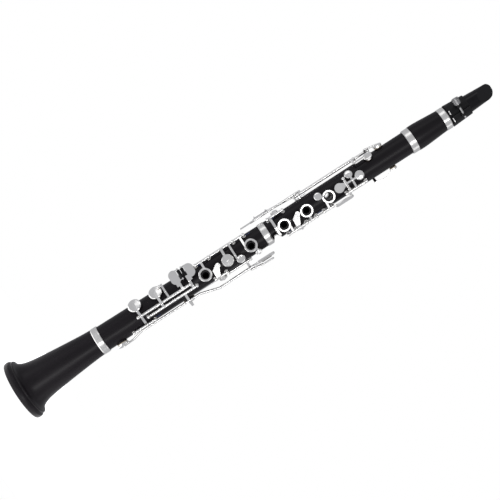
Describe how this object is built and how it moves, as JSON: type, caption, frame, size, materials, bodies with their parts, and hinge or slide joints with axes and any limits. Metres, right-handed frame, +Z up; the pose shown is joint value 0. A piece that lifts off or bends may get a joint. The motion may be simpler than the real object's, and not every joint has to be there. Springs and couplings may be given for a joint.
{
  "type": "clarinet",
  "caption": "B-flat clarinet with German-style ring keys and rollers, in separate joints, keys, posts, pads and mouthpiece, standing on its bell",
  "frame": {"origin": "centre of the bell's mouth, on the surface that the bell stands on", "axes": "+Z up the bore towards the mouthpiece, -Y the side of the finger holes, +X the player's left"},
  "size_m": [0.0756, 0.0756, 0.66],
  "materials": {
    "bell": "oiled grenadilla, satin",
    "bell_ring": "silver plate, polished",
    "lower_joint": "oiled grenadilla, satin",
    "lower_joint_ring": "silver plate, polished",
    "upper_joint": "oiled grenadilla, satin",
    "tenon_corks": "greased cork",
    "barrel": "oiled grenadilla, satin",
    "barrel_rings": "silver plate, polished",
    "mouthpiece": "polished ebonite",
    "mouthpiece_cork": "greased cork",
    "reed": "dry cane",
    "ligature": "black synthetic band, satin",
    "ligature_bars": "silver plate, polished",
    "ligature_screw": "knurled",
    "thumb_rest": "silver plate, polished",
    "thumb_rest_screws": "silver plate, polished",
    "thumb_bush": "silver plate, polished",
    "register_tube": "turned",
    "posts": "silver plate, polished",
    "pivot_rods": "turned steel",
    "low_e_key": "silver plate, polished",
    "low_e_pad": "bladder skin over felt",
    "f_key": "silver plate, polished",
    "f_pad": "bladder skin over felt",
    "vent_key": "silver plate, polished",
    "vent_pad": "bladder skin over felt",
    "a_flat_key": "silver plate, polished",
    "a_flat_pad": "bladder skin over felt",
    "f_roller": "polished",
    "a_flat_roller": "polished",
    "ring_key_3": "silver plate, polished",
    "plateau_key": "silver plate, polished",
    "plateau_pads": "bladder skin over felt",
    "ring_key_1": "silver plate, polished",
    "ring_key_1_pad": "bladder skin over felt",
    "right_sliver_key": "silver plate, polished",
    "right_sliver_pad": "bladder skin over felt",
    "lever_key": "silver plate, polished",
    "lever_pad": "bladder skin over felt",
    "lever_roller": "polished",
    "c_sharp_key": "silver plate, polished",
    "c_sharp_pad": "bladder skin over felt",
    "left_ring_3": "silver plate, polished",
    "left_ring_2": "silver plate, polished",
    "left_ring_1": "silver plate, polished",
    "left_ring_1_pad": "bladder skin over felt",
    "left_sliver_key": "silver plate, polished",
    "left_sliver_pad": "bladder skin over felt",
    "throat_a_key": "silver plate, polished",
    "throat_a_pad": "bladder skin over felt",
    "g_sharp_key": "silver plate, polished",
    "g_sharp_pad": "bladder skin over felt",
    "trill_key_1": "silver plate, polished",
    "trill_pad_1": "bladder skin over felt",
    "trill_key_2": "silver plate, polished",
    "trill_pad_2": "bladder skin over felt",
    "register_key": "silver plate, polished",
    "register_pad": "bladder skin over felt",
    "key_springs": "blued steel wire"
  },
  "bodies": {
    "lower_joint": {"lower_joint": "lower_joint", "lower_joint_ring": "lower_joint_ring", "upper_joint": "upper_joint", "tenon_corks": "tenon_corks", "thumb_rest": "thumb_rest", "thumb_rest_screws": "thumb_rest_screws", "thumb_bush": "thumb_bush", "register_tube": "register_tube", "posts": "posts", "pivot_rods": "pivot_rods", "key_springs": "key_springs"},
    "bell": {"bell": "bell", "bell_ring": "bell_ring"},
    "barrel": {"barrel": "barrel", "barrel_rings": "barrel_rings"},
    "mouthpiece": {"mouthpiece": "mouthpiece", "mouthpiece_cork": "mouthpiece_cork", "reed": "reed", "ligature": "ligature", "ligature_bars": "ligature_bars"},
    "ligature_screw": {"ligature_screw": "ligature_screw"},
    "low_e": {"low_e_key": "low_e_key", "low_e_pad": "low_e_pad"},
    "f": {"f_key": "f_key", "f_pad": "f_pad"},
    "vent": {"vent_key": "vent_key", "vent_pad": "vent_pad"},
    "a_flat": {"a_flat_key": "a_flat_key", "a_flat_pad": "a_flat_pad"},
    "f_roller": {"f_roller": "f_roller"},
    "a_flat_roller": {"a_flat_roller": "a_flat_roller"},
    "ring_3": {"ring_key_3": "ring_key_3"},
    "plateau": {"plateau_key": "plateau_key", "plateau_pads": "plateau_pads"},
    "ring_1": {"ring_key_1": "ring_key_1", "ring_key_1_pad": "ring_key_1_pad"},
    "right_sliver": {"right_sliver_key": "right_sliver_key", "right_sliver_pad": "right_sliver_pad"},
    "lever": {"lever_key": "lever_key", "lever_pad": "lever_pad"},
    "lever_roller": {"lever_roller": "lever_roller"},
    "c_sharp": {"c_sharp_key": "c_sharp_key", "c_sharp_pad": "c_sharp_pad"},
    "left_ring_3": {"left_ring_3": "left_ring_3"},
    "left_ring_2": {"left_ring_2": "left_ring_2"},
    "left_ring_1": {"left_ring_1": "left_ring_1", "left_ring_1_pad": "left_ring_1_pad"},
    "left_sliver": {"left_sliver_key": "left_sliver_key", "left_sliver_pad": "left_sliver_pad"},
    "throat_a": {"throat_a_key": "throat_a_key", "throat_a_pad": "throat_a_pad"},
    "g_sharp": {"g_sharp_key": "g_sharp_key", "g_sharp_pad": "g_sharp_pad"},
    "trill_1": {"trill_key_1": "trill_key_1", "trill_pad_1": "trill_pad_1"},
    "trill_2": {"trill_key_2": "trill_key_2", "trill_pad_2": "trill_pad_2"},
    "register": {"register_key": "register_key", "register_pad": "register_pad"}
  },
  "joints": [
    {"name": "low_e_press", "type": "hinge", "parent": "lower_joint", "child": "low_e", "pos_m": [0.01266, -0.01223, 0.1655], "axis": [0, 0, 1], "range_deg": [0, 5.4], "stiffness_Nm_per_rad": 0.02, "springref_deg": -25},
    {"name": "f_press", "type": "hinge", "parent": "lower_joint", "child": "f", "pos_m": [-0.00092, -0.01758, 0.201], "axis": [0, 0, 1], "range_deg": [-9, 0], "stiffness_Nm_per_rad": 0.02, "springref_deg": 25},
    {"name": "vent_press", "type": "hinge", "parent": "lower_joint", "child": "vent", "pos_m": [0.00485, -0.01692, 0.196], "axis": [0, 0, 1], "range_deg": [-7.2, 0], "stiffness_Nm_per_rad": 0.02, "springref_deg": 25},
    {"name": "a_flat_press", "type": "hinge", "parent": "lower_joint", "child": "a_flat", "pos_m": [0.00485, -0.01692, 0.227], "axis": [0, 0, 1], "range_deg": [-12, 0], "stiffness_Nm_per_rad": 0.02, "springref_deg": 25},
    {"name": "ring_3_press", "type": "hinge", "parent": "lower_joint", "child": "ring_3", "pos_m": [-0.01509, -0.00907, 0.262], "axis": [0, 0, 1], "range_deg": [0, 6], "stiffness_Nm_per_rad": 0.02, "springref_deg": -25},
    {"name": "plateau_press", "type": "hinge", "parent": "lower_joint", "child": "plateau", "pos_m": [-0.01509, -0.00907, 0.288], "axis": [0, 0, 1], "range_deg": [0, 6], "stiffness_Nm_per_rad": 0.02, "springref_deg": -25},
    {"name": "ring_1_press", "type": "hinge", "parent": "lower_joint", "child": "ring_1", "pos_m": [-0.01509, -0.00907, 0.312], "axis": [0, 0, 1], "range_deg": [0, 6], "stiffness_Nm_per_rad": 0.02, "springref_deg": -25},
    {"name": "right_sliver_press", "type": "hinge", "parent": "lower_joint", "child": "right_sliver", "pos_m": [0.01131, -0.01348, 0.273], "axis": [0, 0, 1], "range_deg": [-12, 0], "stiffness_Nm_per_rad": 0.02, "springref_deg": 25},
    {"name": "lever_press", "type": "hinge", "parent": "lower_joint", "child": "lever", "pos_m": [0.01632, 0.00659, 0.296], "axis": [0, 0, 1], "range_deg": [-12, 0], "stiffness_Nm_per_rad": 0.02, "springref_deg": 25},
    {"name": "c_sharp_press", "type": "hinge", "parent": "lower_joint", "child": "c_sharp", "pos_m": [-0.01467, -0.00917, 0.3625], "axis": [0, 0, 1], "range_deg": [0, 8], "stiffness_Nm_per_rad": 0.02, "springref_deg": -25},
    {"name": "left_ring_3_press", "type": "hinge", "parent": "lower_joint", "child": "left_ring_3", "pos_m": [0.01382, -0.01041, 0.3705], "axis": [0, 0, 1], "range_deg": [-6, 0], "stiffness_Nm_per_rad": 0.02, "springref_deg": 25},
    {"name": "left_ring_2_press", "type": "hinge", "parent": "lower_joint", "child": "left_ring_2", "pos_m": [0.01382, -0.01041, 0.3965], "axis": [0, 0, 1], "range_deg": [-6, 0], "stiffness_Nm_per_rad": 0.02, "springref_deg": 25},
    {"name": "left_ring_1_press", "type": "hinge", "parent": "lower_joint", "child": "left_ring_1", "pos_m": [0.01382, -0.01041, 0.4205], "axis": [0, 0, 1], "range_deg": [-6, 0], "stiffness_Nm_per_rad": 0.02, "springref_deg": 25},
    {"name": "left_sliver_press", "type": "hinge", "parent": "lower_joint", "child": "left_sliver", "pos_m": [0.01382, -0.01041, 0.3825], "axis": [0, 0, 1], "range_deg": [-12, 0], "stiffness_Nm_per_rad": 0.02, "springref_deg": 25},
    {"name": "g_sharp_press", "type": "hinge", "parent": "lower_joint", "child": "g_sharp", "pos_m": [0.00967, -0.01434, 0.4605], "axis": [0, 0, 1], "range_deg": [0, 11], "stiffness_Nm_per_rad": 0.02, "springref_deg": -25},
    {"name": "trill_1_press", "type": "hinge", "parent": "lower_joint", "child": "trill_1", "pos_m": [-0.01859, -0.00065, 0.4365], "axis": [0, 0, 1], "range_deg": [-11, 0], "stiffness_Nm_per_rad": 0.02, "springref_deg": 25},
    {"name": "trill_2_press", "type": "hinge", "parent": "lower_joint", "child": "trill_2", "pos_m": [-0.01725, 0.00697, 0.4445], "axis": [0, 0, 1], "range_deg": [-11, 0], "stiffness_Nm_per_rad": 0.02, "springref_deg": 25},
    {"name": "register_press", "type": "hinge", "parent": "lower_joint", "child": "register", "pos_m": [0.01325, 0.01112, 0.4685], "axis": [0, 0, 1], "range_deg": [0, 10], "stiffness_Nm_per_rad": 0.02, "springref_deg": -25},
    {"name": "throat_a_press", "type": "hinge", "parent": "lower_joint", "child": "throat_a", "pos_m": [-0.0013, -0.01855, 0.4525], "axis": [0.9976, -0.0698, 0], "range_deg": [0, 9], "stiffness_Nm_per_rad": 0.02, "springref_deg": -25},
    {"name": "bell_turn", "type": "hinge", "parent": "lower_joint", "child": "bell", "pos_m": [0, 0, 0.108], "axis": [0, 0, 1], "continuous": true},
    {"name": "barrel_pull", "type": "slide", "parent": "lower_joint", "child": "barrel", "axis": [0, 0, 1], "range_m": [0, 0.006]},
    {"name": "mouthpiece_turn", "type": "hinge", "parent": "barrel", "child": "mouthpiece", "pos_m": [0, 0, 0.59], "axis": [0, 0, 1], "continuous": true},
    {"name": "ligature_screw_turn", "type": "hinge", "parent": "mouthpiece", "child": "ligature_screw", "pos_m": [-0.012, -0.0152, 0.612], "axis": [1, 0, 0], "continuous": true},
    {"name": "f_roller_turn", "type": "hinge", "parent": "f", "child": "f_roller", "pos_m": [-0.00913, -0.02092, 0.2334], "axis": [0.9563, -0.2924, 0], "continuous": true},
    {"name": "a_flat_roller_turn", "type": "hinge", "parent": "a_flat", "child": "a_flat_roller", "pos_m": [-0.00903, -0.02028, 0.2379], "axis": [0.9135, -0.4067, 0], "continuous": true},
    {"name": "lever_roller_turn", "type": "hinge", "parent": "low_e", "child": "lever_roller", "pos_m": [0.02416, -0.00225, 0.3265], "axis": [0, 0, 1], "continuous": true}
  ],
  "couplings": [
    {"joint": "vent_press", "follows": "f_press", "ratio": 0.8}
  ]
}
